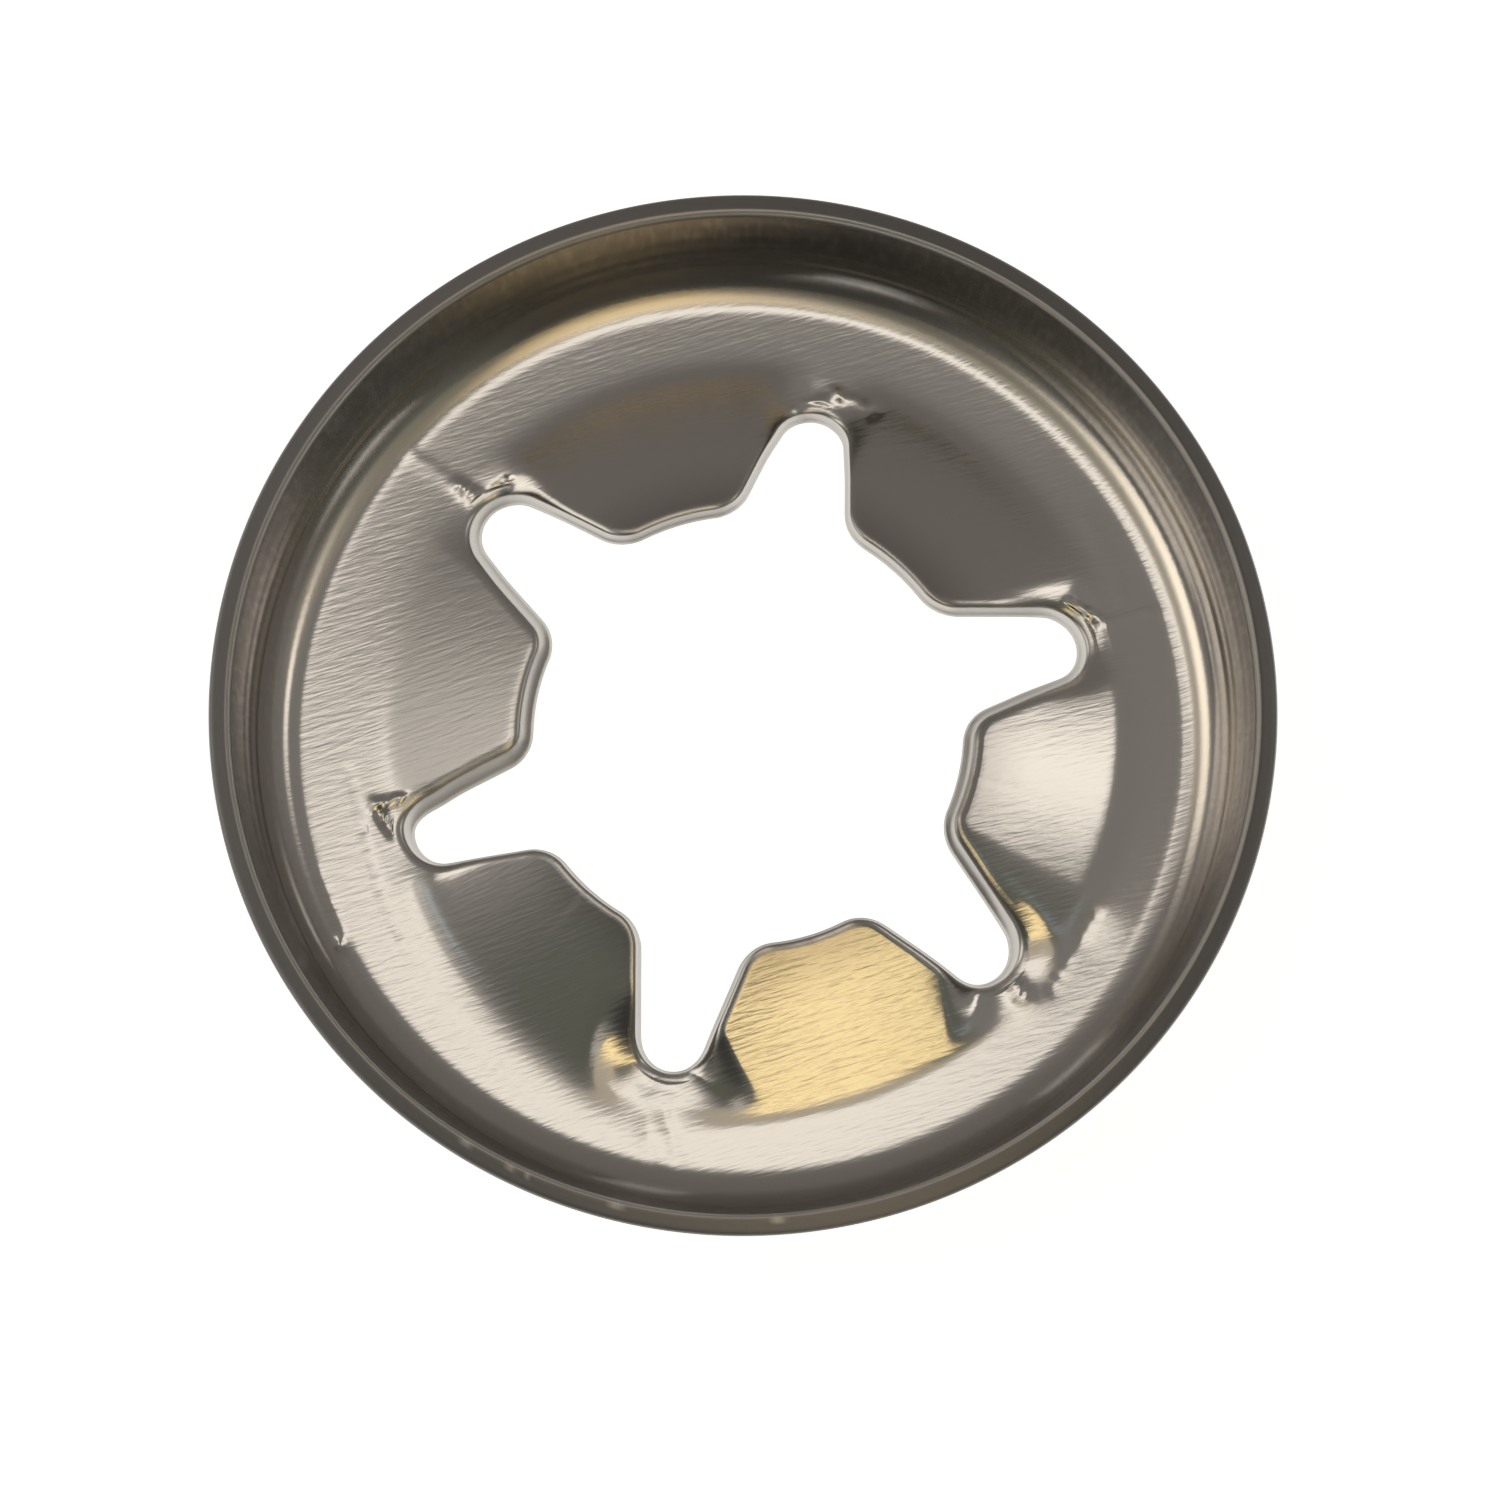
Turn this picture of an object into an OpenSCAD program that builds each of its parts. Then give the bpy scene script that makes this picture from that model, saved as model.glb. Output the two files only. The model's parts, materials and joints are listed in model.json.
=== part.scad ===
// Push-on retaining washer: one stamping of thin spring steel.
// A flat ring carries a flared rim outside and six teeth inside, all turned up the same way.
// Pushed along a plain shaft, the teeth spread and then bite, so the washer can't slip back.
// Millimetres. The origin is the centre of the flat bearing face, and +Z is the shaft's axis.

/* [Sheet] */
// Thickness of the spring steel sheet
sheet_t = 0.3; // [0.2:0.05:0.4]

/* [Rim] */
// Outside diameter over the rim's free edge
rim_d = 15; // [14:0.1:18]
// Overall height, from the bearing face up to the rim's free edge
rim_h = 2.1; // [1.4:0.1:3]
// Lean of the rim's wall outward from upright, in degrees
rim_flare = 16; // [4:1:35]
// Inside radius of the bend between the flat ring and the rim
rim_bend_r = 0.7; // [0.2:0.1:1]

/* [Teeth] */
// Number of teeth, with one slot between each two
tooth_count = 6; // [4:1:9]
// Diameter of the circle that the tooth tips lie on, a little under the shaft's
tip_d = 6.24; // [5:0.02:7.2]
// Rise of the teeth out of the flat ring, in degrees
tooth_rise = 21; // [4:1:40]
// Diameter of the line along which the teeth turn up out of the ring
fold_d = 10.74; // [10.1:0.02:11.5]
// Inside radius of the bend along that line
fold_bend_r = 0.8; // [0.1:0.1:1.2]
// Radius of the two rounded corners of each tooth tip
tip_corner_r = 0.65; // [0.2:0.05:0.9]

/* [Slots] */
// Diameter of the circle that the slots' round outer ends touch
slot_reach_d = 9.66; // [8.8:0.02:10]
// Radius of a slot's round outer end
slot_end_r = 0.46; // [0.24:0.02:0.56]
// Lean of each slot side away from the slot's middle line, in degrees
slot_taper = 12.5; // [2:0.5:15]

/* [Hidden] */
$fn = 96;
steel = [0.66, 0.64, 0.6];

// Cutters run this far past the sheet, so that no face of theirs lies on one of its faces
margin = 1;
// Turn of each straight step that the section's bends are drawn with, in degrees
bend_step = 5;

// Directions up the rim's wall and up a tooth's leg, and square to them, out of the sheet
wall_run = [sin(rim_flare), cos(rim_flare)];
wall_out = [cos(rim_flare), -sin(rim_flare)];
leg_run = [-cos(tooth_rise), sin(tooth_rise)];
leg_out = [-sin(tooth_rise), -cos(tooth_rise)];

// Straight length of the wall, up to the rim's edge, and of a leg, to well inside the tips
rim_bend_outer_r = rim_bend_r + sheet_t;
wall_rise = rim_h - rim_bend_outer_r + rim_bend_r * sin(rim_flare);
wall_len = wall_rise / cos(rim_flare);
leg_len = (fold_d - tip_d) / 2 + margin;

// Centres of the two bends, which the ring's flat lies between
fold_centre = [fold_d / 2 + fold_bend_r * tan(tooth_rise / 2), fold_bend_r + sheet_t];
rim_centre_x = rim_d / 2 - wall_len * wall_run.x - rim_bend_outer_r * wall_out.x;
rim_centre = [rim_centre_x, rim_bend_outer_r];

// Round ends and corners run this hair over the lines and circles that they blend into, so
// that they cross them and don't just touch
overlap = 0.002;

// Slot: its end circle's centre, the directions square to and along its side, and how far
// the axis lies from the line of that side
slot_end_x = slot_reach_d / 2 - slot_end_r;
side_out = [sin(slot_taper), cos(slot_taper)];
side_run = [cos(slot_taper), -sin(slot_taper)];
side_depth = slot_end_r - overlap;
side_offset = slot_end_x * side_out.x + side_depth;

// Tip corner: a circle inside the tooth that reaches the slot's side and the tip circle. Its
// radius is limited to where the two corners of one tooth would meet.
pitch_sine = sin(180 / tooth_count + slot_taper);
corner_room = (pitch_sine * (tip_d / 2 - overlap) - side_offset + overlap) / (1 - pitch_sine);
corner_r = min(tip_corner_r, corner_room);
corner_depth = corner_r - overlap;
corner_offset = side_offset + corner_depth;
corner_reach = tip_d / 2 + corner_depth;
corner_along = sqrt(corner_reach * corner_reach - corner_offset * corner_offset);
corner_centre = corner_offset * side_out + corner_along * side_run;

// Points round a bend of the section, from one angle to a greater one
function bend(centre, r, from, to) =
    let (steps = ceil((to - from) / bend_step))
    [for (i = [0:steps])
        let (a = from + (to - from) * i / steps)
        centre + r * [cos(a), sin(a)]];

// One face of the sheet in section, from a tooth's leg to the rim's edge; depth is how far
// the face lies under the sheet's upper face
function face(depth) =
    let (fold_r = fold_bend_r + depth, rim_r = rim_bend_r + depth)
    concat(
        [fold_centre + fold_r * leg_out + leg_len * leg_run],
        bend(fold_centre, fold_r, -90 - tooth_rise, -90),
        bend(rim_centre, rim_r, -90, -rim_flare),
        [rim_centre + rim_r * wall_out + wall_len * wall_run]
    );

// Section of the sheet from a tooth's leg, across the flat ring, to the rim's edge
module sheet_2d() {
    upper = face(0);
    lower = face(sheet_t);
    last = len(upper) - 1;
    polygon(concat(lower, [for (i = [last:-1:0]) upper[i]]));
}

// Slot along +X that widens from its round end to the bore, with rounded tooth corners
module slot_2d() {
    half = [
        corner_centre,
        corner_centre - corner_depth * side_out,
        [slot_end_x, 0] + side_depth * side_out
    ];
    translate([slot_end_x, 0])
        circle(r = slot_end_r);
    difference() {
        polygon(concat([[0, 0]], half, [for (i = [2:-1:0]) [half[i].x, -half[i].y]]));
        for (side = [-1, 1])
            translate([corner_centre.x, side * corner_centre.y])
                circle(r = corner_r);
    }
}

// Bore and slots in one piece, as the punch that cuts the teeth free
module punch_2d() {
    circle(d = tip_d);
    for (i = [0:tooth_count - 1])
        rotate(i * 360 / tooth_count)
            slot_2d();
}

module washer() {
    color(steel)
        difference() {
            rotate_extrude()
                sheet_2d();
            translate([0, 0, -margin])
                linear_extrude(rim_h + 2 * margin)
                    punch_2d();
        }
}

washer();
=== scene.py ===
"""Push-on retaining washer: the finished sheet metal, its spring steel and a plain studio.

The washer's shape and the places where its steel changes are in millimetres, and the rest is
in metres. The origin is the centre of the flat bearing face, +Z is the shaft's axis and +X runs
through the middle of one slot. Angles are in degrees, counted from +X towards +Y.
"""

import json
import math
from collections import namedtuple

import bpy
import numpy as np
from mathutils import Matrix, Vector


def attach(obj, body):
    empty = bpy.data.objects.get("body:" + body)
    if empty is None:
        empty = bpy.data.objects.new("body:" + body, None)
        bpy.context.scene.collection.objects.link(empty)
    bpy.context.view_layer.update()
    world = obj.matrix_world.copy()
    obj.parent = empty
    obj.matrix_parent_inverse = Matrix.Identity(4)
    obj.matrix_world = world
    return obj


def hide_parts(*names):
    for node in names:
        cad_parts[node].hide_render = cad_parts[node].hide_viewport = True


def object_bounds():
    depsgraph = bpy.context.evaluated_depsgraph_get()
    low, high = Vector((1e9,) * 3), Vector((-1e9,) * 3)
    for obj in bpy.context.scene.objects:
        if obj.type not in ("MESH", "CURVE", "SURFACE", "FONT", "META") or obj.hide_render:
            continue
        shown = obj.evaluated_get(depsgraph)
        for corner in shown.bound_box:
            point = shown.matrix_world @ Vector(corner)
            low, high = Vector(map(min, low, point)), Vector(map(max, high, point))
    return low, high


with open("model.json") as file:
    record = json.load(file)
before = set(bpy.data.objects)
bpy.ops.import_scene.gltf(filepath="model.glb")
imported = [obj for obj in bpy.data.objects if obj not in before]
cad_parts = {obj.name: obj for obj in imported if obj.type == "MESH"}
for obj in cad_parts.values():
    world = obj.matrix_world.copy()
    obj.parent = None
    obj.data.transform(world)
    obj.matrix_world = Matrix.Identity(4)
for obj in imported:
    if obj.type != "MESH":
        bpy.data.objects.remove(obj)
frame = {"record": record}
cad_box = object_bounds()

MM = 0.001

# Driving sizes of the stamping, in millimetres and degrees, as the construction has them
SHEET_T = 0.3
RIM_FLARE = 16
RIM_BEND_R = 0.7
TOOTH_COUNT = 6
TOOTH_RISE = 21
FOLD_R = 5.37
TIP_CORNER_R = 0.65
SLOT_REACH_R = 4.83
SLOT_END_R = 0.46
SLOT_TAPER = 12.5

# What the frame itself says: the rim's reach and height, and the circle of the tooth tips
RIM_R = cad_box[1].x / MM
RIM_H = cad_box[1].z / MM
MOUNTS = {mount["name"]: mount for mount in frame["record"]["mounts"]}
TIP_R = MOUNTS["shaft_grip"]["dims"]["r_mm"]

# The mesh: stations round the hole for each tooth, and the ring where the rows that follow
# the hole end and plain round rows begin
STATIONS = 120
PLAN_R = 5.45

# Rows of the mesh from that ring in to the hole on the upper and the lower face, and steps out
# from it to the rim's bend, of which the lower face has every third
OVER_ROWS = 26
UNDER_ROWS = 8
RING_STEPS = 11
UNDER_EVERY = 3

# Steps of the mesh round the rim's bend and up its wall, inside and outside, and over its edge
INNER_BEND_STEPS = 18
INNER_WALL_STEPS = 22
OUTER_WALL_STEPS = 5
OUTER_BEND_STEPS = 10
CORNER_STEPS = 4
EDGE_STEPS = 4


def unit(degrees):
    """Unit vector in the plane at an angle."""
    a = math.radians(degrees)
    return np.array([math.cos(a), math.sin(a)])


def smoothstep(start, end, x):
    """Goes smoothly from 0 to 1 while x goes from start to end, up or down."""
    t = np.clip((x - start) / (end - start), 0, 1)
    return t * t * (3 - 2 * t)


def plan_angle(x, y):
    """Angle of a place in the washer's own frame, in degrees."""
    return np.degrees(np.arctan2(y, x)) % 360


# Section of the sheet


RISE = math.radians(TOOTH_RISE)
WALL_RUN = unit(90 - RIM_FLARE)
WALL_OUT = unit(-RIM_FLARE)
RIM_BEND_OUTER_R = RIM_BEND_R + SHEET_T
WALL_RISE = RIM_H - RIM_BEND_OUTER_R + RIM_BEND_R * math.sin(math.radians(RIM_FLARE))
WALL_LEN = WALL_RISE / WALL_RUN[1]
RIM_CENTRE = np.array([
    RIM_R - WALL_LEN * WALL_RUN[0] - RIM_BEND_OUTER_R * WALL_OUT[0],
    RIM_BEND_OUTER_R,
])

# The ring is dished by pressing: its slope grows evenly from the rim's bend to the fold
DISH = 0.03

# On one side the ring also leans: it rises inward by this part of its run. Of each pair of
# angles that bound it, there is no lean at the first and all of it at the second.
RING_LEAN = 0.05
RING_LEAN_FROM = (310, 319)
RING_LEAN_TO = (35, 5)

# How softly each tooth's fold turns up, in millimetres, from the tooth at 30 degrees on, and
# how far in from the drawn line the fold runs at each slot, from the slot on +X on
FOLD_SOFT = np.array([0.08, 0.08, 0.1, 0.12, 0.04, 0.07])
FOLD_IN = np.array([0, 0, 0.05, 0.35, -0.1, 0])

# How far each tooth is bent up as a part of the full rise, from the tooth at 30 degrees on
TOOTH_LIFT = np.array([1, 1, 0.5, 1, 1, 1])

# The ring stays flat up to the slots' ends: beside each slot the fold is gone at the first
# distance from the slot's middle line and whole again at the slot's own distance, from the
# slot on +X on. This fades in where the teeth have come free, between two radii.
FOLD_GONE = 0.15
FOLD_WHOLE = np.array([0.9, 0.9, 0.9, 0.8, 1.3, 1.1])
FOLD_FADE_R = (3.9, 5.2)

# The distance at which the fold is whole again also grows with the radius, by this power of
# its ratio to the radius given, on each tooth from the one at 30 degrees on
FOLD_SPREAD = np.array([0, 0, 0, 0, 4, 0])
FOLD_SPREAD_R = 5.0

# Close beside each slot the fold swings out by this much, within this distance of the slot's
# middle line
FOLD_OUT = np.array([0, 0, 0, 0, 0.3, 0.18])
FOLD_OUT_WIDTH = 1.0

# At its root each tooth is domed across: its face falls off towards the slots, by this much at
# a slot's middle line, from the slot on +X on. The dome starts at this distance from the
# slot's middle line and between these radii, and ends at the fold, between two more. It also
# fades in over this much of the tooth's rise.
DOME_FALL = np.array([0.03, 0.04, 0.03, 0.02, 0.08, 0.08])
DOME_WIDTH = 1.25
DOME_R = (4.1, 5.0)
DOME_END_R = (5.6, 5.25)
DOME_RISE = 0.1

# Between these parts of the way from one tooth's middle to the next's, over the slot, what is
# one tooth's own gives way to what is the next's
SLOT_BAND = (0.36, 0.64)


def by_tooth(values, degrees):
    """Each tooth's own value round the washer, blended over the middle of each slot."""
    place = (degrees * TOOTH_COUNT / 360 - 0.5) % TOOTH_COUNT
    tooth = np.floor(place).astype(int)
    blend = smoothstep(*SLOT_BAND, place - tooth)
    this, following = values[tooth % TOOTH_COUNT], values[(tooth + 1) % TOOTH_COUNT]
    return this * (1 - blend) + following * blend


def nearest_slot(x, y):
    """Which slot is nearest, from the slot on +X on, and how far off its middle line is."""
    place = plan_angle(x, y) * TOOTH_COUNT / 360
    slot = np.round(place).astype(int)
    aside = np.abs(place - slot) * 2 * math.pi / TOOTH_COUNT * np.hypot(x, y)
    return slot % TOOTH_COUNT, aside


def fold_strength(x, y):
    """How much of the fold is there: 1 over the teeth, and 0 on the ring beside a slot's end."""
    r = np.hypot(x, y)
    slot, aside = nearest_slot(x, y)
    tooth = np.floor(plan_angle(x, y) * TOOTH_COUNT / 360).astype(int) % TOOTH_COUNT
    whole = FOLD_WHOLE[slot] * (r / FOLD_SPREAD_R) ** FOLD_SPREAD[tooth]
    return 1 - smoothstep(whole, FOLD_GONE, aside) * smoothstep(*FOLD_FADE_R, r)


def dome_fall(x, y):
    """How far a tooth's face falls off towards the slots beside it."""
    r = np.hypot(x, y)
    slot, aside = nearest_slot(x, y)
    fall = DOME_FALL[slot] * np.clip(1 - aside / DOME_WIDTH, 0, 1) ** 2
    return fall * smoothstep(*DOME_R, r) * smoothstep(*DOME_END_R, r)


def fold_out(x, y):
    """How far out the fold swings beside the slots."""
    slot, aside = nearest_slot(x, y)
    return FOLD_OUT[slot] * np.exp(-(aside / FOLD_OUT_WIDTH) ** 2)


def fold_in(degrees):
    """How far in from the drawn line the fold runs, from one slot's value to the next's."""
    place = degrees * TOOTH_COUNT / 360
    slot = np.floor(place).astype(int)
    this, following = FOLD_IN[slot % TOOTH_COUNT], FOLD_IN[(slot + 1) % TOOTH_COUNT]
    return this + (following - this) * (place - slot)


def face_height(x, y, depth):
    """Height of a face of the sheet over the teeth, the fold and the flat ring.

    depth is how far the face lies under the sheet's upper face.
    """
    r = np.hypot(x, y)
    degrees = plan_angle(x, y)
    fold_r = FOLD_R - fold_in(degrees) + fold_out(x, y)
    inward = fold_r - depth * math.tan(RISE / 2) - r
    soft = by_tooth(FOLD_SOFT, degrees)
    raised = math.tan(RISE) * soft * np.logaddexp(0, inward / soft)
    width = RIM_CENTRE[0] - FOLD_R
    on_ring = np.clip(RIM_CENTRE[0] - r, 0, width)
    leaning = smoothstep(*RING_LEAN_FROM, degrees) + smoothstep(*RING_LEAN_TO, degrees)
    dish = DISH * on_ring ** 2 / (2 * width) + RING_LEAN * leaning * on_ring
    raised = raised * by_tooth(TOOTH_LIFT, degrees) * fold_strength(x, y)
    return SHEET_T - depth + dish + raised - dome_fall(x, y) * smoothstep(0, DOME_RISE, raised)


def arc(centre, radius, start, end, steps):
    """Section points along an arc, both ends included."""
    return [centre + radius * unit(a) for a in np.linspace(start, end, steps + 1)]


def line(start, end, steps):
    """Section points along a straight line, both ends left out."""
    return [start + (end - start) * i / steps for i in range(1, steps)]


EDGE_ROUND_R = 0.06


def rim_edge(inner, outer):
    """Section points over the rim's cut edge, from its inner to its outer corner, rounded."""
    across = (outer - inner) / SHEET_T
    back = EDGE_ROUND_R * WALL_RUN
    inner_centre = inner - back + EDGE_ROUND_R * across
    outer_centre = outer - back - EDGE_ROUND_R * across
    inner_start = 180 - RIM_FLARE
    top = inner_start - 90
    points = arc(inner_centre, EDGE_ROUND_R, inner_start, top, CORNER_STEPS)
    points += line(points[-1], outer_centre + back, EDGE_STEPS)
    return points + arc(outer_centre, EDGE_ROUND_R, top, top - 90, CORNER_STEPS)


INNER_WALL = RIM_CENTRE + RIM_BEND_R * WALL_OUT
OUTER_WALL = RIM_CENTRE + RIM_BEND_OUTER_R * WALL_OUT


def wall_section():
    """Section points of the rim, by kind: the bend and wall inside, the cut edge, and the
    wall and bend outside."""
    edge = rim_edge(INNER_WALL + WALL_LEN * WALL_RUN, OUTER_WALL + WALL_LEN * WALL_RUN)
    inside = arc(RIM_CENTRE, RIM_BEND_R, -90, -RIM_FLARE, INNER_BEND_STEPS)
    inside += line(inside[-1], edge[0], INNER_WALL_STEPS)
    outside = line(edge[-1], OUTER_WALL, OUTER_WALL_STEPS)
    outside += arc(RIM_CENTRE, RIM_BEND_OUTER_R, -RIM_FLARE, -90, OUTER_BEND_STEPS)
    return [("inside", inside), ("cut", edge), ("outside", outside)]


# Outline of the hole


def half_outline():
    """Pieces of the hole's outline from the middle of a slot to the middle of a tooth.

    Each piece is its length and a function that gives the points at some lengths along it
    and the directions from them into the metal. The slot lies on +X.
    """
    taper = math.radians(SLOT_TAPER)
    out = np.array([math.sin(taper), math.cos(taper)])
    run = np.array([math.cos(taper), -math.sin(taper)])
    end = np.array([SLOT_REACH_R - SLOT_END_R, 0.0])
    touch = end + SLOT_END_R * out
    offset = touch @ out + TIP_CORNER_R
    reach = TIP_R + TIP_CORNER_R
    corner = offset * out + math.sqrt(reach ** 2 - offset ** 2) * run
    corner_start = math.atan2(-out[1], -out[0])
    corner_polar = math.atan2(corner[1], corner[0])
    corner_turn = corner_start - (corner_polar - math.pi)
    side_len = (touch - corner + TIP_CORNER_R * out) @ run

    def direction(a):
        return np.stack([np.cos(a), np.sin(a)], axis=-1)

    def slot_end(s):
        d = direction(s / SLOT_END_R)
        return end + SLOT_END_R * d, d

    def side(s):
        return touch - s[:, None] * run, np.tile(out, (len(s), 1))

    def tip_corner(s):
        d = direction(corner_start - s / TIP_CORNER_R)
        return corner + TIP_CORNER_R * d, -d

    def tip(s):
        d = direction(corner_polar + s / TIP_R)
        return TIP_R * d, d

    return [
        (SLOT_END_R * (math.pi / 2 - taper), slot_end),
        (side_len, side),
        (TIP_CORNER_R * corner_turn, tip_corner),
        (TIP_R * (math.pi / TOOTH_COUNT - corner_polar), tip),
    ]


# A station this close to where two pieces of the outline meet lies on the later one
HAIR = 1e-9


def even_outline():
    """Points all round the hole at even steps of its length, and directions into the metal."""
    pieces = half_outline()
    half_len = sum(length for length, _ in pieces)
    along = np.arange(STATIONS) * 2 * half_len / STATIONS
    s = np.where(along > half_len, 2 * half_len - along, along)
    points = np.zeros((STATIONS, 2))
    inward = np.zeros((STATIONS, 2))
    start = 0
    for length, place in pieces:
        here = (s >= start - HAIR) & (s <= start + length + HAIR)
        points[here], inward[here] = place(s[here] - start)
        start += length
    mirror_a = 2 * math.pi / TOOTH_COUNT
    mirror = np.array([
        [math.cos(mirror_a), math.sin(mirror_a)],
        [math.sin(mirror_a), -math.cos(mirror_a)],
    ])
    far = along > half_len
    points[far] = points[far] @ mirror
    inward[far] = inward[far] @ mirror
    all_points, all_inward = [], []
    for i in range(TOOTH_COUNT):
        a = 2 * math.pi * i / TOOTH_COUNT
        turn = np.array([[math.cos(a), math.sin(a)], [-math.sin(a), math.cos(a)]])
        all_points.append(points @ turn)
        all_inward.append(inward @ turn)
    return np.concatenate(all_points), np.concatenate(all_inward)


# How much longer each tooth is than drawn, from the tooth at 30 degrees on, and how much deeper
# each slot is, from the slot on +X on, as the photograph shows them. Neither has begun at the
# first of its two radii, and both are whole at the second.
TOOTH_LONGER = np.array([0, 0.03, 0.18, 0, 0.03, 0.04])
TOOTH_LONGER_R = (4.2, 3.3)
SLOT_DEEPER = np.array([0.06, -0.07, 0.02, -0.02, 0, 0.07])
SLOT_DEEPER_R = (3.9, 4.6)

# How far the long tooth's side leans into the slot beside it. Of each pair of angles that
# bound this, there is no lean at the first and all of it at the second.
LEANING_SIDE = 0.12
LEANING_FROM = (150, 162)
LEANING_TO = (179, 173)


def hole_outline():
    """The hole's outline with the unevenness of the photographed washer."""
    points, inward = even_outline()
    r = np.hypot(points[:, 0], points[:, 1])
    degrees = plan_angle(points[:, 0], points[:, 1])
    slot = np.round(degrees * TOOTH_COUNT / 360).astype(int) % TOOTH_COUNT
    outward = SLOT_DEEPER[slot] * smoothstep(*SLOT_DEEPER_R, r)
    outward -= by_tooth(TOOTH_LONGER, degrees) * smoothstep(*TOOTH_LONGER_R, r)
    points = points * (1 + outward / r)[:, None]
    leaning = smoothstep(*LEANING_FROM, degrees) * smoothstep(*LEANING_TO, degrees)
    lean = LEANING_SIDE * leaning
    around = np.column_stack([-points[:, 1], points[:, 0]]) / r[:, None]
    return points + lean[:, None] * around, inward


# Relief of the upper face


# Ridges and grooves that forming has left, each from one place to another in millimetres, with
# the half width of its round back and its height, which is below 0 for a groove
Mark = namedtuple("Mark", "x1 y1 x2 y2 width height")
MARKS = [
    # Slot on +X: a torn lip, the crease that runs out from it and a pale arc beside it
    Mark(5.0, 0.5, 5.28, 0.2, 0.05, 0.03),
    Mark(5.2, 0.2, 5.12, -0.2, 0.05, -0.02),
    Mark(5.4, 0.1, 6.1, 0.08, 0.05, 0.006),
    Mark(5.6, 1.6, 5.7, 0.4, 0.09, 0.004),
    # Slot at 60 degrees: a raised lip round its end with a pit behind
    Mark(2.3, 4.3, 2.75, 4.38, 0.07, 0.025),
    Mark(2.75, 4.38, 3.1, 4.1, 0.07, 0.02),
    Mark(3.13, 3.96, 3.2, 4.0, 0.06, -0.03),
    # Slot at 120 degrees: a ridge out to the rim and a crack at the corner
    Mark(-2.5, 4.4, -2.75, 4.7, 0.06, 0.03),
    Mark(-2.75, 4.7, -3.25, 5.3, 0.08, 0.006),
    Mark(-2.39, 4.46, -2.07, 4.58, 0.04, -0.03),
    # Slot at 180 degrees: a torn burr and a scratched arc along the fold
    Mark(-5.25, 0.65, -4.85, 0.6, 0.05, 0.03),
    Mark(-5.2, 0.5, -5.12, 0.22, 0.05, -0.035),
    Mark(-5.42, 1.22, -5.47, 0.33, 0.03, -0.006),
    Mark(-5.47, 0.33, -5.52, -0.56, 0.03, -0.006),
    Mark(-5.52, -0.56, -5.44, -1.26, 0.03, -0.006),
    # Slot at 240 degrees: the ring bulges beyond it, with a crease on each side
    Mark(-2.6, -4.6, -2.75, -4.65, 0.25, 0.025),
    Mark(-2.97, -4.69, -3.03, -5.47, 0.08, 0.004),
    Mark(-2.63, -4.8, -2.65, -5.58, 0.06, 0.004),
    # Slot at 300 degrees: a slighter bulge, a crease and a scribed line beside it
    Mark(2.62, -4.6, 2.7, -4.65, 0.22, 0.015),
    Mark(2.5, -4.3, 2.66, -4.7, 0.08, 0.02),
    Mark(3.04, -4.75, 3.99, -3.87, 0.035, -0.01),
    # A nick on the rim's bend, and the scratch that leads to it
    Mark(-6.27, -1.12, -6.3, -1.2, 0.05, -0.04),
    Mark(-6.27, -0.03, -6.19, -1.08, 0.03, -0.008),
]


# Marks at least this wide are smooth, and narrower ones are broken up by an uneven pattern of
# two crossing waves. Each is its turns along x and y and the turns of its own wobble, in
# radians to the millimetre, and the wobble shifts it by this many radians.
BROAD = 0.15
FIRST_WAVE = (23, 9, 11)
SECOND_WAVE = (-17, 31, 13)
WOBBLE = 2
LEAST_LEFT = 0.5


def crumble(x, y):
    """How much of a mark is left: an uneven pattern that goes up by 1 from the least."""
    along_x, along_y, turns = FIRST_WAVE
    first = np.sin(along_x * x + along_y * y + WOBBLE * np.sin(turns * y))
    along_x, along_y, turns = SECOND_WAVE
    second = np.sin(along_x * x + along_y * y + WOBBLE * np.sin(turns * x))
    return LEAST_LEFT + (2 + first + second) / 4


def relief(x, y):
    """Height of the marks over the plain face."""
    height = np.zeros_like(x)
    for mark in MARKS:
        run_x, run_y = mark.x2 - mark.x1, mark.y2 - mark.y1
        length = math.hypot(run_x, run_y)
        along = ((x - mark.x1) * run_x + (y - mark.y1) * run_y) / length
        past = np.clip(np.abs(along - length / 2) - length / 2, 0, None)
        aside = ((y - mark.y1) * run_x - (x - mark.x1) * run_y) / length
        shape = np.exp(-(aside ** 2 + past ** 2) / (2 * mark.width ** 2))
        if mark.width < BROAD:
            shape = shape * crumble(x, y)
        height += mark.height * shape
    return height


# Shallow waves that drawing leaves on the wall just over the bend: their height and length, how
# far they take to die down, and how far under the bend's end they come in
WAVE_H = 0.006
WAVE_LEN = 0.3
WAVE_FADE = 0.45
WAVE_START = 0.3


def wall_wave(r, z):
    """How far the drawn wall stands in from its plain section, at points of that section."""
    up = (r - INNER_WALL[0]) * WALL_RUN[0] + (z - INNER_WALL[1]) * WALL_RUN[1]
    wave = WAVE_H * np.sin(2 * math.pi * up / WAVE_LEN) * np.exp(-np.abs(up) / WAVE_FADE)
    return wave * smoothstep(-WAVE_START, 0, up)


# Grid of the whole sheet


# The hole's cut edge: how far it lies back from the outline and its height over the lower
# face. From below come the torn band, the sheared band and the corner that the punch rolled.
CUT_PROFILE = [(0.03, 0), (0.008, 0.006), (0, 0.02), (0.01, 0.08), (0.025, 0.1), (0.035, 0.2)]
ROLL_W = 0.12
ROLL_H = 0.06
ROLL_ROWS = 8
# The marks of the upper face come in over this many rows from the hole's edge
MARK_ROWS = 3
# How much the rim's edge looks like the hole's bare cut edge, how much its worn inner corner
# does, and the nicks in its inner half that do so wholly, each by its angle and half its width
RIM_EDGE_CUT = 0.1
RIM_CORNER_CUT = 0.8
RIM_NICKS = [(220.8, 1.3), (226.4, 0.9), (228.6, 0.4), (238.8, 1.6), (256.6, 1.3)]
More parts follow.
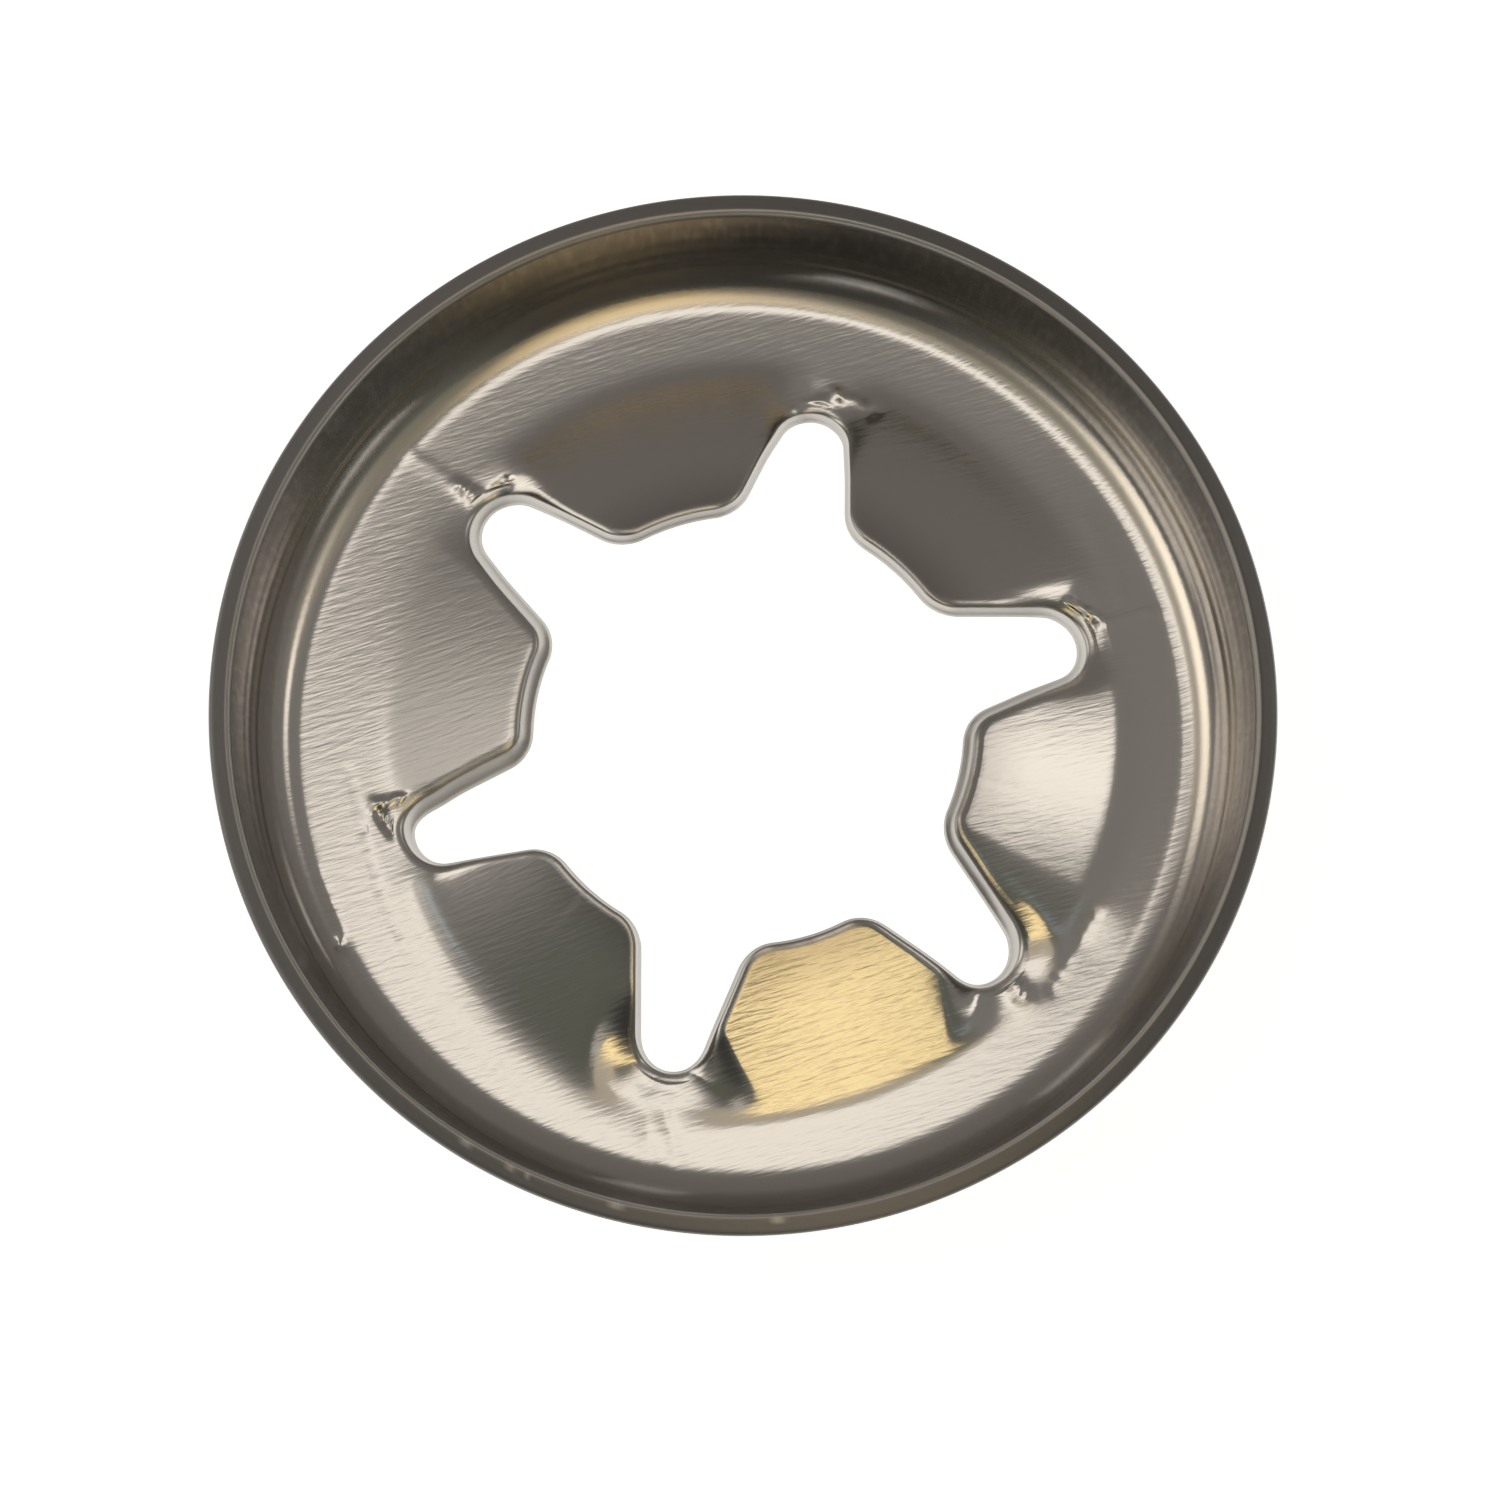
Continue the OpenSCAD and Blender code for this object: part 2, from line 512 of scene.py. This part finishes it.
# How much further back the top of the cut lies than its foot, from the tooth at 30 degrees on
CUT_SLANT = np.array([0.05, 0.05, 0.2, 0.05, 0.05, 0.16])


def cut_profile():
    """Points of the cut edge's profile, from the lower face to the upper."""
    foot = CUT_PROFILE[-1][0]
    turn = np.radians(np.linspace(0, 90, ROLL_ROWS))
    roll = np.column_stack([
        foot + ROLL_W * (1 - np.cos(turn)),
        SHEET_T - ROLL_H * (1 - np.sin(turn)),
    ])
    return np.concatenate([CUT_PROFILE, roll])


def plan_rows(start, ring, depth, steps):
    """Rows on one face of the sheet from the hole's edge to the plan ring, without the first."""
    rows = []
    for i in range(1, steps + 1):
        plan = start + (ring - start) * i / steps
        height = face_height(plan[:, 0], plan[:, 1], depth)
        if depth == 0:
            height = height + relief(plan[:, 0], plan[:, 1]) * smoothstep(0, MARK_ROWS, i)
        rows.append(np.column_stack([plan, height]))
    return rows


def edge_rows(outline, inward, slant):
    """Rows up the hole's cut edge, from the lower face's corner to the upper face's."""
    rows = []
    for inset, height in cut_profile():
        plan = outline + (inset + slant * height / SHEET_T)[:, None] * inward
        lower = face_height(plan[:, 0], plan[:, 1], SHEET_T)
        upper = face_height(plan[:, 0], plan[:, 1], 0)
        rows.append(np.column_stack([plan, lower + (upper - lower) * height / SHEET_T]))
    return rows


def sheet_grid():
    """Points of the sheet's whole surface as rows of stations, and each row's kind."""
    outline, inward = hole_outline()
    count = len(outline)
    angles = 2 * math.pi * np.arange(count) / count
    around = np.column_stack([np.cos(angles), np.sin(angles)])
    rows, kinds = [], []

    def add(kind, new_rows):
        rows.extend(new_rows)
        kinds.extend([kind] * len(new_rows))

    def ring_row(r, depth):
        plan = r * around
        height = face_height(plan[:, 0], plan[:, 1], depth)
        if depth == 0:
            height = height + relief(plan[:, 0], plan[:, 1])
        return np.column_stack([plan, height])

    ring_r = np.linspace(PLAN_R, RIM_CENTRE[0], RING_STEPS + 1)[1:-1]
    add("over", [ring_row(r, 0) for r in ring_r])
    for kind, section in wall_section():
        for r, z in section:
            plan = r * around
            height = np.full(count, z)
            if kind == "inside":
                inset = wall_wave(r, z)
                plan = (r - inset * WALL_OUT[0]) * around
                height = z - inset * WALL_OUT[1] + relief(plan[:, 0], plan[:, 1])
            add(kind, [np.column_stack([plan, height])])
    add("outside", [ring_row(r, SHEET_T) for r in ring_r[::-UNDER_EVERY]])

    slant = by_tooth(CUT_SLANT, plan_angle(outline[:, 0], outline[:, 1]))
    edge = edge_rows(outline, inward, slant)
    ring = PLAN_R * around
    add("under", plan_rows(edge[0][:, :2], ring, SHEET_T, UNDER_ROWS)[::-1])
    add("cut", edge)
    add("over", plan_rows(edge[-1][:, :2], ring, 0, OVER_ROWS))
    return np.array(rows), kinds


def grid_faces(row_count, station_count):
    """Quads between each row and the next and each station and the next, both going round."""
    v, u = np.meshgrid(np.arange(row_count), np.arange(station_count), indexing="ij")
    v2, u2 = (v + 1) % row_count, (u + 1) % station_count
    corners = [v * station_count + u, v * station_count + u2,
               v2 * station_count + u2, v2 * station_count + u]
    return np.stack(corners, axis=-1).reshape(-1, 4)


def bare_cut(kinds, station_count):
    """How much each point of the grid looks like freshly cut metal, from 0 to 1."""
    cut_rows = [i for i, kind in enumerate(kinds) if kind == "cut"]
    hole_rows = [i for i in cut_rows if i > kinds.index("under")]
    rim_rows = [i for i in cut_rows if i not in hole_rows]
    degrees = np.arange(station_count) * 360 / station_count
    rim = np.full(station_count, RIM_EDGE_CUT)
    for angle, half_width in RIM_NICKS:
        rim = np.maximum(rim, smoothstep(half_width, 0, np.abs(degrees - angle)))
    cut = np.zeros((len(kinds), station_count), dtype=np.float32)
    cut[rim_rows] = RIM_EDGE_CUT
    cut[rim_rows[:len(rim_rows) // 2]] = rim
    cut[rim_rows[:CORNER_STEPS]] = np.maximum(rim, RIM_CORNER_CUT)
    cut[hole_rows] = 1
    cut[hole_rows[-ROLL_ROWS:]] = np.linspace(1, 0, ROLL_ROWS)[:, None]
    return cut.ravel()


def make_washer():
    """The washer as one closed mesh."""
    grid, kinds = sheet_grid()
    mesh = bpy.data.meshes.new("retaining_washer")
    faces = grid_faces(*grid.shape[:2])
    mesh.from_pydata((grid.reshape(-1, 3) * MM).tolist(), [], faces.tolist())
    mesh.shade_smooth()
    cut = bare_cut(kinds, grid.shape[1])
    mesh.attributes.new("cut", "FLOAT", "POINT").data.foreach_set("value", cut)
    mesh.validate()
    washer = bpy.data.objects.new("retaining_washer", mesh)
    bpy.context.collection.objects.link(washer)
    return washer


# Materials


# Where a Mix node has its sockets for colours, whose names it uses more than once
MIX_FACTOR, MIX_A, MIX_B = 0, 6, 7
MIX_RESULT = 2


class Shader:
    """Short calls for making the nodes of a material or a world."""

    def __init__(self, owner):
        owner.use_nodes = True
        self.tree = owner.node_tree
        self.tree.nodes.clear()

    def add(self, kind, inputs=None, **settings):
        """Makes a node, sets it up and fills its inputs with values or other nodes' sockets."""
        node = self.tree.nodes.new(kind)
        for name, value in settings.items():
            setattr(node, name, value)
        for name, value in (inputs or {}).items():
            if isinstance(value, bpy.types.NodeSocket):
                self.tree.links.new(value, node.inputs[name])
            else:
                node.inputs[name].default_value = value
        return node

    def maths(self, operation, *values):
        """Result of a Math node."""
        node = self.add("ShaderNodeMath", dict(enumerate(values)), operation=operation)
        return node.outputs[0]

    def smooth(self, value, start, end):
        """Socket that goes smoothly from 0 to 1 while the value goes from start to end."""
        node = self.add("ShaderNodeMapRange", {
            "Value": value, "From Min": start, "From Max": end,
        }, interpolation_type="SMOOTHSTEP")
        return node.outputs[0]

    def smooth_mm(self, value, band):
        """The same between the two ends of a band in millimetres."""
        return self.smooth(value, band[0] * MM, band[1] * MM)

    def dot(self, vector, direction):
        """Dot product of a vector socket and a fixed direction in the plane."""
        inputs = {0: vector, 1: (*direction, 0)}
        return self.add("ShaderNodeVectorMath", inputs, operation="DOT_PRODUCT").outputs["Value"]

    def mix(self, factor, a, b):
        """Colour between two colours."""
        a, b = (c if isinstance(c, bpy.types.NodeSocket) else (*c, 1) for c in (a, b))
        inputs = {MIX_FACTOR: factor, MIX_A: a, MIX_B: b}
        return self.add("ShaderNodeMix", inputs, data_type="RGBA").outputs[MIX_RESULT]

    def streaks(self, vector, scale, detail):
        """Noise drawn out into streaks, from 0 to 1."""
        drawn_out = self.add("ShaderNodeMapping", {"Vector": vector, "Scale": scale})
        noise = self.add("ShaderNodeTexNoise", {
            "Vector": drawn_out.outputs["Vector"], "Scale": 1.0, "Detail": detail,
        })
        return noise.outputs["Fac"]


# Where the steel changes, in millimetres: out from the ring to the wall, and up the wall to its
# painted shade, a darker colour higher up, and to its edge
WALL_R = (6.3, 6.7)
UPPER_SHADE_Z = (0.8, 1.4)
TOP_Z = (1.9, 2.0)

# Between these radii the bend is rougher and carries a painted highlight, a paler warm colour,
# on the side whose middle is at this angle.
# Both come in over this band across the washer's middle.
HIGHLIGHT_IN_R = (6.3, 6.4)
HIGHLIGHT_OUT_R = (6.62, 6.52)
HIGHLIGHT_SIDE = 60
HIGHLIGHT_SIDE_BAND = (-1.5, 1.5)

# Colours of the steel on the ring and the teeth and on the wall, of the painted shade high on
# the wall, of the painted highlight on one side of the bend, in the drawn lines, on the rim's
# edge and where it is bare and cut
PLAIN = (0.6, 0.58, 0.55)
WALL = (0.52, 0.49, 0.46)
# Painted shade: a darker colour high on the wall, standing in for the dark that it reflects
# there
UPPER_WALL_SHADE = (0.29, 0.265, 0.25)
# Painted highlight: a pale warm colour on one side of the rim's bend, standing in for the light
# it reflects
BEND_HIGHLIGHT = (0.85, 0.77, 0.66)
LINES = (0.72, 0.7, 0.66)
TOP = (0.22, 0.21, 0.205)
CUT = (0.55, 0.53, 0.5)

# Roughness of plain steel, and what each of those places adds to it at most
ROUGH = 0.16
ROUGH_CUT = 0.24
ROUGH_WALL = 0.1
ROUGH_TOP = 0.3
ROUGH_HIGHLIGHT_BAND = 0.14
ANISOTROPY = 0.75

# The fine and the broad grain, in steps to the metre along and across its run, with its detail,
# and how much the broad grain counts beside the fine
FINE_GRAIN = ((3000, 22000, 1), 2.0)
BROAD_GRAIN = ((1200, 9000, 1), 1.0)
BROAD_SHARE = 0.7

# The drawn lines, in steps to the metre round and up the wall, with their detail. At most this
# share of their colour shows, and it comes in over this band of their noise.
DRAWN_LINES = ((12000, 12000, 200), 3.0)
LINES_SHARE = 0.22
LINES_BAND = (0.4, 0.75)

# How strong the bumps of the grain and of the lines are, and how high, in metres
GRAIN_BUMP = 0.25
LINES_BUMP = 0.2
BUMP_HEIGHT = 0.00001


def steel_material():
    """Bright rolled spring steel: straight grain along +X on the teeth and the ring, and fine
    lines up the drawn wall."""
    material = bpy.data.materials.new("spring_steel")
    s = Shader(material)
    place = s.add("ShaderNodeTexCoord").outputs["Object"]
    axes = s.add("ShaderNodeSeparateXYZ", {"Vector": place}).outputs
    flat = s.add("ShaderNodeCombineXYZ", {"X": axes["X"], "Y": axes["Y"], "Z": 0.0}).outputs[0]
    radius = s.add("ShaderNodeVectorMath", {0: flat}, operation="LENGTH").outputs["Value"]
    on_wall = s.smooth_mm(radius, WALL_R)
    # Painted shade: the wall's colour darkens higher up
    high = s.smooth_mm(axes["Z"], UPPER_SHADE_Z)
    top = s.smooth_mm(axes["Z"], TOP_Z)
    # The painted highlight on one side of the bend, where it is also rougher
    on_bend = s.maths("MULTIPLY", s.smooth_mm(radius, HIGHLIGHT_IN_R),
                      s.smooth_mm(radius, HIGHLIGHT_OUT_R))
    on_side = s.smooth_mm(s.dot(place, unit(HIGHLIGHT_SIDE)), HIGHLIGHT_SIDE_BAND)
    rough_highlight_band = s.maths("MULTIPLY", on_bend, on_side)
    cut = s.add("ShaderNodeAttribute", attribute_name="cut").outputs["Fac"]

    broad = s.streaks(flat, *BROAD_GRAIN)
    grain = s.maths("MULTIPLY_ADD", broad, BROAD_SHARE, s.streaks(flat, *FINE_GRAIN))
    drawn = s.streaks(place, *DRAWN_LINES)
    bump = s.add("ShaderNodeBump", {
        "Height": s.maths("MULTIPLY", grain, s.maths("SUBTRACT", 1.0, on_wall)),
        "Strength": GRAIN_BUMP, "Distance": BUMP_HEIGHT,
    }).outputs["Normal"]
    bump = s.add("ShaderNodeBump", {
        "Height": s.maths("MULTIPLY", drawn, on_wall),
        "Strength": LINES_BUMP, "Distance": BUMP_HEIGHT, "Normal": bump,
    }).outputs["Normal"]
    tangent = s.add("ShaderNodeCombineXYZ", {"X": 0.0, "Y": 1.0, "Z": 0.0}).outputs[0]

    rough = s.maths("MULTIPLY", cut, ROUGH_CUT)
    for where, more in ((on_wall, ROUGH_WALL), (top, ROUGH_TOP), (rough_highlight_band, ROUGH_HIGHLIGHT_BAND)):
        rough = s.maths("MAXIMUM", rough, s.maths("MULTIPLY", where, more))

    lined = s.maths("MULTIPLY", on_wall, s.smooth(drawn, *LINES_BAND))
    lined = s.maths("MULTIPLY", lined, LINES_SHARE)
    colour = s.mix(on_wall, PLAIN, WALL)
    # The painted shade high on the wall and the painted highlight on the bend are mixed in with
    # the steel's own colours
    for where, paint in ((high, UPPER_WALL_SHADE), (rough_highlight_band, BEND_HIGHLIGHT), (lined, LINES), (top, TOP), (cut, CUT)):
        colour = s.mix(where, colour, paint)
    shader = s.add("ShaderNodeBsdfPrincipled", {
        "Base Color": colour,
        "Metallic": 1.0,
        "Roughness": s.maths("ADD", rough, ROUGH),
        "Anisotropic": ANISOTROPY,
        "Tangent": tangent,
        "Normal": bump,
    })
    s.add("ShaderNodeOutputMaterial", {"Surface": shader.outputs[0]})
    return material


# The floor's paint, and how much it glows for the camera and in reflections
FLOOR_PAINT = (0.8, 0.8, 0.8, 1)
FLOOR_GLOW = 0.8
FLOOR_SIZE = 6.0
# How far the floor lies under the washer, in metres, so that their faces don't meet
FLOOR_DROP = 0.00001


def floor_material():
    """Pale floor that shows white to the camera and in reflections, under the shadow."""
    material = bpy.data.materials.new("pale_floor")
    s = Shader(material)
    path = s.add("ShaderNodeLightPath").outputs
    seen = s.maths("MAXIMUM", path["Is Camera Ray"], path["Is Glossy Ray"])
    seen = s.maths("MAXIMUM", seen, path["Is Transmission Ray"])
    paint = s.add("ShaderNodeBsdfDiffuse", {"Color": FLOOR_PAINT})
    glow = s.add("ShaderNodeEmission", {
        "Color": (1, 1, 1, 1),
        "Strength": s.maths("MULTIPLY", seen, FLOOR_GLOW),
    })
    both = s.add("ShaderNodeAddShader", {0: paint.outputs[0], 1: glow.outputs[0]})
    s.add("ShaderNodeOutputMaterial", {"Surface": both.outputs[0]})
    return material


# Studio


def make_plane(name, size, material):
    """A square or oblong plane about its own origin, facing +Z."""
    w, h = size[0] / 2, size[1] / 2
    mesh = bpy.data.meshes.new(name)
    mesh.from_pydata([(-w, -h, 0), (w, -h, 0), (w, h, 0), (-w, h, 0)], [], [(0, 1, 2, 3)])
    mesh.materials.append(material)
    plane = bpy.data.objects.new(name, mesh)
    bpy.context.collection.objects.link(plane)
    return plane


def make_floor():
    """The floor that the washer lies on."""
    floor = make_plane("floor", (FLOOR_SIZE, FLOOR_SIZE), floor_material())
    floor.location.z = -FLOOR_DROP


# The picture's right stands at this angle in the washer's own frame
PICTURE_RIGHT = -17.2

# A soft light card at a distance from the washer. x and y say where it stands over the washer,
# as parts of that distance to the right and up in the picture, and turn is the way its width
# runs there. Its width, height and faded edges are parts of the distance too.
Card = namedtuple("Card", "name distance x y turn width height soft strength colour")
CREAM = (1.0, 0.94, 0.86)
WARM = (1.0, 0.87, 0.68)
GOLD = (1.0, 0.78, 0.4)
SKY = (0.88, 0.96, 1.0)
CARDS = [
    Card("key_card", 0.07, 0.06, 0.05, -47.5, 0.24, 0.23, 0.015, 1.5, CREAM),
    Card("key_left_card", 0.071, -0.16, 0.12, 0, 0.52, 0.32, 0.1, 1.6, CREAM),
    Card("key_end_card", 0.2, -0.4, 0.14, 0, 0.6, 0.58, 0.3, 0.9, CREAM),
    Card("gold_card", 0.25, 0.208, -0.465, 19, 0.42, 0.16, 0.02, 2.4, GOLD),
    Card("gold_end_card", 0.25, -0.1, -0.45, 0, 0.23, 0.14, 0.04, 0.9, CREAM),
    Card("low_card", 0.3, 0.05, -0.22, 10, 0.46, 0.5, 0.06, 0.6, WARM),
    Card("left_card", 0.25, -0.81, 0, 90, 0.9, 0.42, 0.05, 1.6, CREAM),
    Card("right_card", 0.25, 0.69, 0.13, 90, 0.34, 0.22, 0.04, 1.7, CREAM),
    Card("sky_card", 0.04, 0.54, -0.27, 61, 0.24, 0.12, 0.03, 0.4, SKY),
    Card("sky_left_card", 0.042, -0.56, 0, 90, 0.3, 0.1, 0.03, 0.7, SKY),
]


def card_material(card):
    """Even light that fades out towards the card's edges."""
    material = bpy.data.materials.new(card.name)
    s = Shader(material)
    place = s.add("ShaderNodeTexCoord").outputs["Object"]
    axes = s.add("ShaderNodeSeparateXYZ", {"Vector": place}).outputs
    fade = None
    for axis, size in (("X", card.width), ("Y", card.height)):
        half = size * card.distance / 2
        room = s.maths("SUBTRACT", half, s.maths("ABSOLUTE", axes[axis]))
        part = s.smooth(room, 0.0, card.soft * card.distance)
        fade = part if fade is None else s.maths("MULTIPLY", fade, part)
    glow = s.add("ShaderNodeEmission", {"Color": (*card.colour, 1), "Strength": card.strength})
    clear = s.add("ShaderNodeBsdfTransparent")
    both = s.add("ShaderNodeMixShader", {0: fade, 1: clear.outputs[0], 2: glow.outputs[0]})
    s.add("ShaderNodeOutputMaterial", {"Surface": both.outputs[0]})
    return material


def view_back(azimuth, elevation):
    """Direction from the washer to the camera. Azimuth 0 stands on the -Y side."""
    a, e = math.radians(azimuth), math.radians(elevation)
    return Vector((math.sin(a) * math.cos(e), -math.cos(a) * math.cos(e), math.sin(e)))


def picture_direction(x, y):
    """Direction from the washer to a place of the sky over it, given as in a card."""
    flat = x * unit(PICTURE_RIGHT) + y * unit(PICTURE_RIGHT + 90)
    return Vector((*flat, math.sqrt(1 - x * x - y * y)))


def make_card(card):
    """A light card that faces the washer."""
    size = (card.width * card.distance, card.height * card.distance)
    plane = make_plane(card.name, size, card_material(card))
    back = picture_direction(card.x, card.y)
    run = Vector((*unit(card.turn + PICTURE_RIGHT), 0))
    x_axis = (run - run.dot(back) * back).normalized()
    y_axis = (-back).cross(x_axis)
    turn = Matrix((x_axis, y_axis, -back)).transposed().to_4x4()
    plane.matrix_world = Matrix.Translation(back * card.distance) @ turn
    plane.visible_camera = False


# The room's colours: overhead, behind the washer, towards the camera, low down beyond the
# camera and at the horizon. With each but the first is the band over which it comes in, as
# parts of the way up in the picture or, for the horizon, of the height over the floor. The
# dark also ends at a band to the left and right.
ROOM = (0.27, 0.255, 0.24)
ROOM_BACK = (0.2, 0.185, 0.17)
BACK_BAND = (0.3, 0.55)
ROOM_LOW = (0.14, 0.145, 0.12)
LOW_BAND = (-0.05, -0.25)
DARK = (0.045, 0.045, 0.042)
DARK_BAND = (-0.55, -0.65)
DARK_SIDES = (0.66, 0.5)
HORIZON = (0.9, 0.9, 0.9)
HORIZON_BAND = (0.14, 0.04)


def make_world():
    """Soft room light: grey above, dark low down beyond the camera and pale at the horizon.

    The camera itself sees white.
    """
    world = bpy.data.worlds.new("studio")
    bpy.context.scene.world = world
    s = Shader(world)
    place = s.add("ShaderNodeTexCoord").outputs["Generated"]
    across = s.dot(place, unit(PICTURE_RIGHT))
    up = s.dot(place, unit(PICTURE_RIGHT + 90))
    height = s.add("ShaderNodeSeparateXYZ", {"Vector": place}).outputs["Z"]
    near = s.smooth(s.maths("ABSOLUTE", across), *DARK_SIDES)
    colour = s.mix(s.smooth(up, *BACK_BAND), ROOM, ROOM_BACK)
    colour = s.mix(s.smooth(up, *LOW_BAND), colour, ROOM_LOW)
    colour = s.mix(s.maths("MULTIPLY", s.smooth(up, *DARK_BAND), near), colour, DARK)
    colour = s.mix(s.smooth(height, *HORIZON_BAND), colour, HORIZON)
    seen = s.add("ShaderNodeLightPath").outputs["Is Camera Ray"]
    colour = s.mix(seen, colour, (1, 1, 1))
    light = s.add("ShaderNodeBackground", {"Color": colour, "Strength": 1.0})
    s.add("ShaderNodeOutputWorld", {"Surface": light.outputs[0]})


# The photograph's view: the camera's direction, its roll, how much it sees, and where its
# middle lies from the washer's axis, to the right and up in the picture
CAMERA_AZIMUTH = -16.5
CAMERA_ELEVATION = 76.9
CAMERA_ROLL = -0.7
CAMERA_DISTANCE = 0.3
CAMERA_FIELD = 0.02112
CAMERA_RIGHT = 0.000094
CAMERA_UP = -0.000142
CAMERA_CLIP = (0.001, 20)
SENSOR_MM = 36


def make_camera():
    """Camera at the photograph's viewing angle."""
    data = bpy.data.cameras.new("camera")
    camera = bpy.data.objects.new("camera", data)
    bpy.context.collection.objects.link(camera)
    back = view_back(CAMERA_AZIMUTH, CAMERA_ELEVATION)
    turn = (-back).to_track_quat("-Z", "Y").to_matrix().to_4x4()
    turn = turn @ Matrix.Rotation(math.radians(CAMERA_ROLL), 4, "Z")
    right, up = turn.to_3x3().col[0], turn.to_3x3().col[1]
    aim = Vector((0, 0, SHEET_T * MM)) + right * CAMERA_RIGHT + up * CAMERA_UP
    camera.matrix_world = Matrix.Translation(aim + back * CAMERA_DISTANCE) @ turn
    data.sensor_width = SENSOR_MM
    data.lens = SENSOR_MM * CAMERA_DISTANCE / CAMERA_FIELD
    data.clip_start, data.clip_end = CAMERA_CLIP
    bpy.context.scene.camera = camera


make_world()
make_floor()
for card in CARDS:
    make_card(card)
make_camera()
bpy.context.scene.view_settings.view_transform = "Standard"

washer = make_washer()
washer.data.materials.append(steel_material())
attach(washer, "root")
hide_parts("washer")
